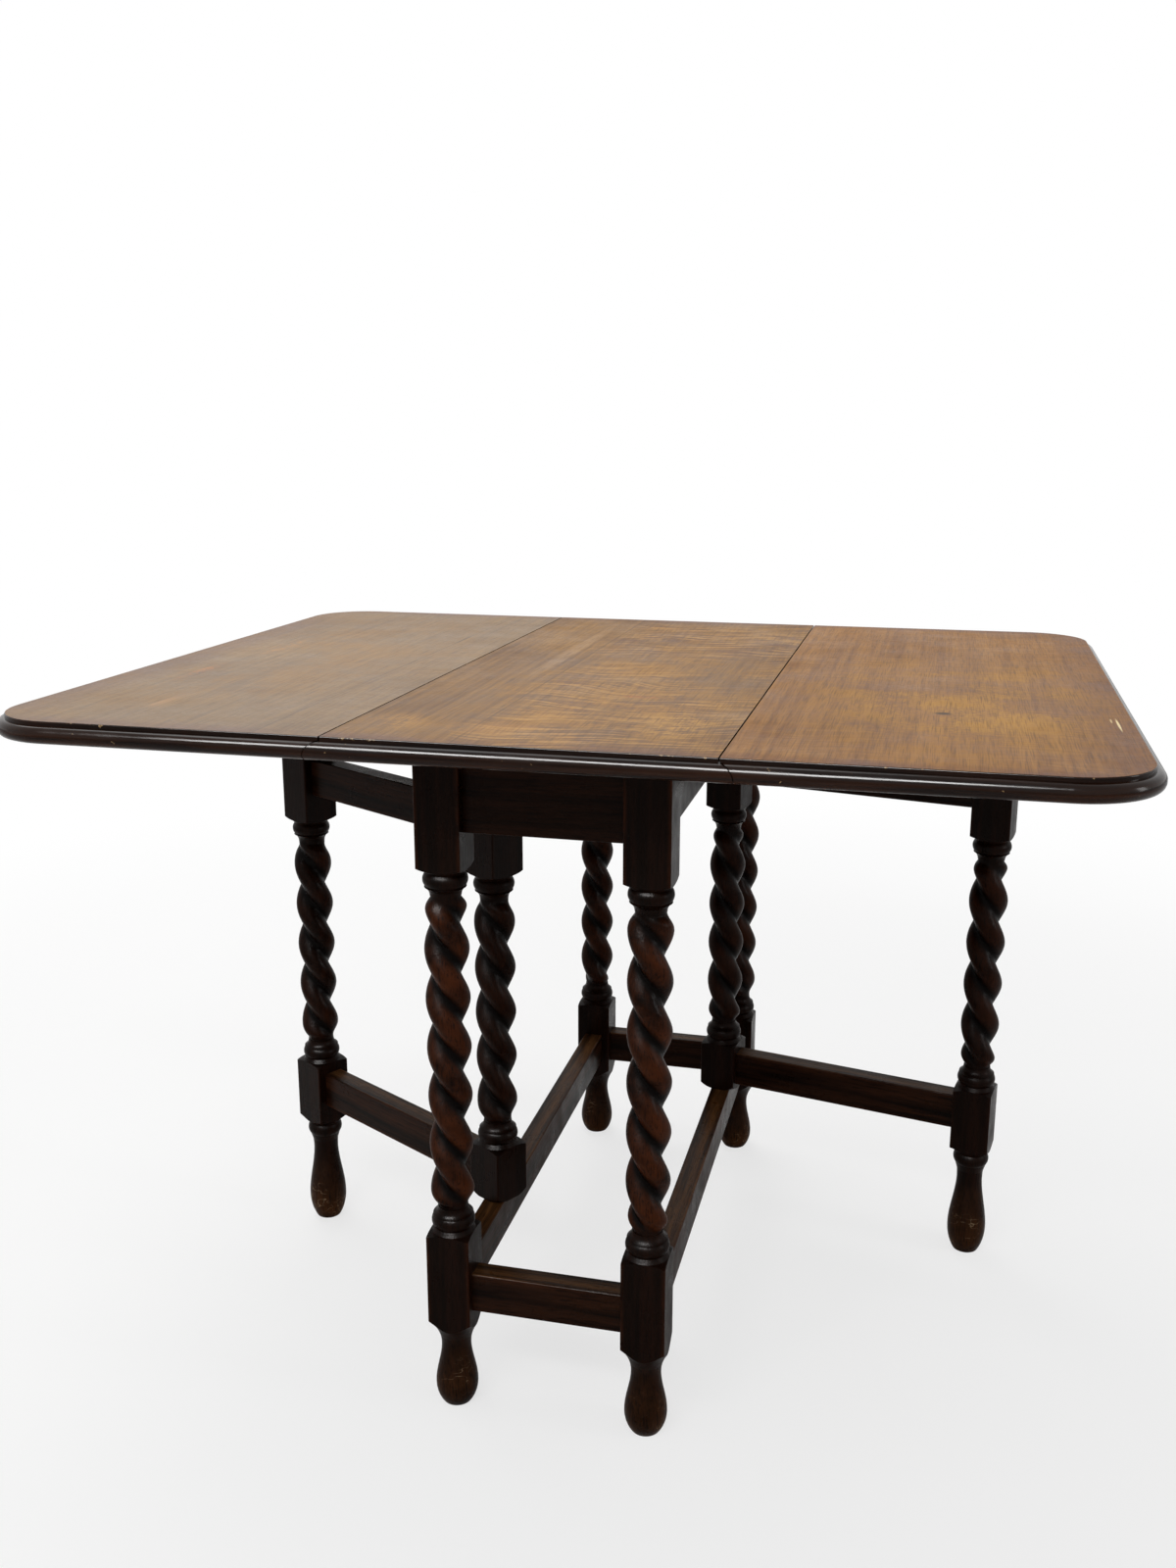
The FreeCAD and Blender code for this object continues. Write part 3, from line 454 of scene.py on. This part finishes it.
sides = (("left", -frameSettings["across"]), ("right", frameSettings["across"]))
for end, y in (("front", -frameSettings["along"]), ("back", frameSettings["along"])):
    for side, x in sides:
        name = end + "_" + side + "_leg"
        legRub = frameSettings["legRub"][end]
        paint(name, stainedOak(name, (x, y, 0), twist=frameSettings["twist"], foot=True, rub=legRub))
    paintRail(end + "_apron", 0, y, 0, apron)
    paintRail(end + "_stretcher", 0, y, 0, stretcher)
for side, x in sides:
    paintRail(side + "_side_rail", x, 0, 90, apron)
    paintRail(side + "_stretcher", x, 0, 90, stretcher)

    g = gateSettings
    pivotX, pivotY, turn = g["pivots"][side]
    acrossGate, alongGate = math.cos(math.radians(turn)) * g["reach"], math.sin(math.radians(turn)) * g["reach"]
    gate = side + "_gate_"
    outer = (pivotX + acrossGate, pivotY + alongGate, 0)
    paint(gate + "leg", stainedOak(gate + "leg", outer, turn, twist=g["twist"], foot=True, rub=g["legRub"]))
    post = (pivotX, pivotY, 0)
    paint(gate + "post", stainedOak(gate + "post", post, turn, twist=g["twist"], rub=g["postRub"]))
    for piece, rail in g["rails"].items():
        paintRail(gate + piece, pivotX + acrossGate / 2, pivotY + alongGate / 2, turn, {**rail, "half": g["half"]})
    dowel = stainedOak(gate + "pivots", post, turn)
    paint(gate + "top_pivot", dowel)
    paint(gate + "bottom_pivot", dowel)
print("framing finished")


# Hinges and screws under the top: rolled brass gone brown, and turned steel gone dark, both blotched
metals = {
    "aged_brass": {"clean": "#a07a3c", "tarnish": "#4d3a1e", "rough": (0.32, 0.55), "blotch": 6},
    "darkened_steel": {"clean": "#7d7a76", "tarnish": "#2d2926", "rough": (0.38, 0.6), "blotch": 3},
    "band": (0.35, 0.65), "bump": 0.2, "depth": 0.2,
}


def tarnishedMetal(name):
    s = metals[name]
    material, tree = newMaterial(name)
    place = addNode(tree, "ShaderNodeTexCoord").outputs["Object"]
    blotch = addNode(tree, "ShaderNodeTexNoise", {
        "Vector": place, "Scale": perMm(s["blotch"])[0], "Detail": 4.0})
    share = addNode(tree, "ShaderNodeMapRange", {"Value": blotch, **between(*metals["band"])})
    colour = addNode(tree, "ShaderNodeMix", {
        "Factor": share, colourA: tone(s["clean"]), colourB: tone(s["tarnish"])}, data_type="RGBA")
    rough = addNode(tree, "ShaderNodeMapRange", {"Value": blotch, **between(*metals["band"], *s["rough"])})
    bump = addNode(tree, "ShaderNodeBump", {
        "Height": blotch, "Strength": metals["bump"], "Distance": metals["depth"] * mm})
    shader = addNode(tree, "ShaderNodeBsdfPrincipled", {
        "Base Color": colour, "Roughness": rough, "Normal": bump, "Metallic": 1.0})
    addNode(tree, "ShaderNodeOutputMaterial", {"Surface": shader})
    return material


brass = tarnishedMetal("aged_brass")
steel = tarnishedMetal("darkened_steel")
for name in nodes:
    if "plates" in name or "pins" in name:
        paint(name, brass)
    elif "screws" in name:
        paint(name, steel)
print("hinges and screws finished")


# Pale paper floor that turns to plain white away from the table, in metres
studio = {
    "floorSize": 40, "near": 0.9, "far": 2.4, "nearWhite": 0.68, "floor": "#efeeec", "floorRough": 0.9,
    "floorGloss": 0.1, "white": (1, 1, 1, 1), "ambient": (0.95, 0.97, 1, 1), "ambientLevel": 0.45,
}
floorMesh = bmesh.new()
bmesh.ops.create_grid(floorMesh, x_segments=1, y_segments=1, size=studio["floorSize"] / 2)
floorData = bpy.data.meshes.new("studio_floor")
floorMesh.to_mesh(floorData)
floorMesh.free()
floor = bpy.data.objects.new("studio_floor", floorData)
bpy.context.scene.collection.objects.link(floor)
material, tree = newMaterial("pale_studio_paper")
place = addNode(tree, "ShaderNodeTexCoord").outputs["Object"]
reach = addNode(tree, "ShaderNodeVectorMath", {0: place}, operation="LENGTH")
away = addNode(tree, "ShaderNodeMapRange", {
    "Value": reach, **between(studio["near"], studio["far"], studio["nearWhite"])}, interpolation_type="SMOOTHSTEP")
rays = addNode(tree, "ShaderNodeLightPath").outputs
seen = addNode(tree, "ShaderNodeMath", {0: away, 1: rays["Is Camera Ray"]}, operation="MULTIPLY")
paper = addNode(tree, "ShaderNodeBsdfPrincipled", {
    "Base Color": tone(studio["floor"]), "Roughness": studio["floorRough"],
    "Specular IOR Level": studio["floorGloss"]})
white = addNode(tree, "ShaderNodeEmission", {"Color": studio["white"], "Strength": 1.0})
blend = addNode(tree, "ShaderNodeMixShader", {0: seen, 1: paper, 2: white})
addNode(tree, "ShaderNodeOutputMaterial", {"Surface": blend})
floorData.materials.append(material)

# white to the camera and in reflections, dimmer as light
world = bpy.data.worlds.new("studio_world")
world.use_nodes = True
bpy.context.scene.world = world
tree = world.node_tree
tree.nodes.clear()
rays = addNode(tree, "ShaderNodeLightPath").outputs
glossy = addNode(tree, "ShaderNodeMath", {0: rays["Is Camera Ray"], 1: rays["Is Glossy Ray"]}, operation="MAXIMUM")
shown = addNode(tree, "ShaderNodeMath", {0: glossy, 1: rays["Is Transmission Ray"]}, operation="MAXIMUM")
ambient = addNode(tree, "ShaderNodeBackground", {"Color": studio["ambient"], "Strength": studio["ambientLevel"]})
plain = addNode(tree, "ShaderNodeBackground", {"Color": studio["white"], "Strength": 1.0})
blend = addNode(tree, "ShaderNodeMixShader", {0: shown, 1: ambient, 2: plain})
addNode(tree, "ShaderNodeOutputWorld", {"Surface": blend})

# places and sizes in metres, power in watts; the gloss strip only gives highlights
lamps = {
    "overhead_softbox": {
        "at": (-0.9, 0.9, 2.6), "aim": (0, 0, 0.6), "size": (2.0, 2.0), "power": 40, "glossOnly": False},
    "front_strip": {
        "at": (-0.3, -2.3, 2.5), "aim": (0, 0, 0.6), "size": (2.0, 0.3), "power": 24, "glossOnly": False},
    "gloss_strip": {
        "at": (-0.55, -2.2, 2.6), "aim": (0, 0, 0.6), "size": (2.2, 0.9), "power": 360, "glossOnly": True},
    "right_window": {
        "at": (2.9, -0.3, 1.2), "aim": (0, 0, 0.5), "size": (0.5, 1.2), "power": 14, "glossOnly": False},
}
for name, lamp in lamps.items():
    light = bpy.data.lights.new(name, "AREA")
    light.shape = "RECTANGLE"
    light.size, light.size_y = lamp["size"]
    light.energy = lamp["power"]
    holder = bpy.data.objects.new(name, light)
    holder.location = lamp["at"]
    holder.rotation_euler = (Vector(lamp["aim"]) - Vector(lamp["at"])).to_track_quat("-Z", "Y").to_euler()
    holder.visible_diffuse = not lamp["glossOnly"]
    bpy.context.scene.collection.objects.link(holder)
print("studio lit")

# pitch is degrees below the horizon, turn is degrees to the left of +Y
cameraSettings = {
    "at": (0.354, -1.582, 0.997), "pitch": 13.87, "turn": 13.88, "lens": 33.5, "sensor": 36}
camera = bpy.data.objects.new("photo_camera", bpy.data.cameras.new("photo_camera"))
camera.data.lens = cameraSettings["lens"]
camera.data.sensor_width = cameraSettings["sensor"]
camera.location = cameraSettings["at"]
camera.rotation_euler = Euler((
    math.radians(90 - cameraSettings["pitch"]), 0, math.radians(cameraSettings["turn"])))
bpy.context.scene.collection.objects.link(camera)
bpy.context.scene.camera = camera
bpy.context.scene.view_settings.view_transform = "Standard"
print("camera placed")
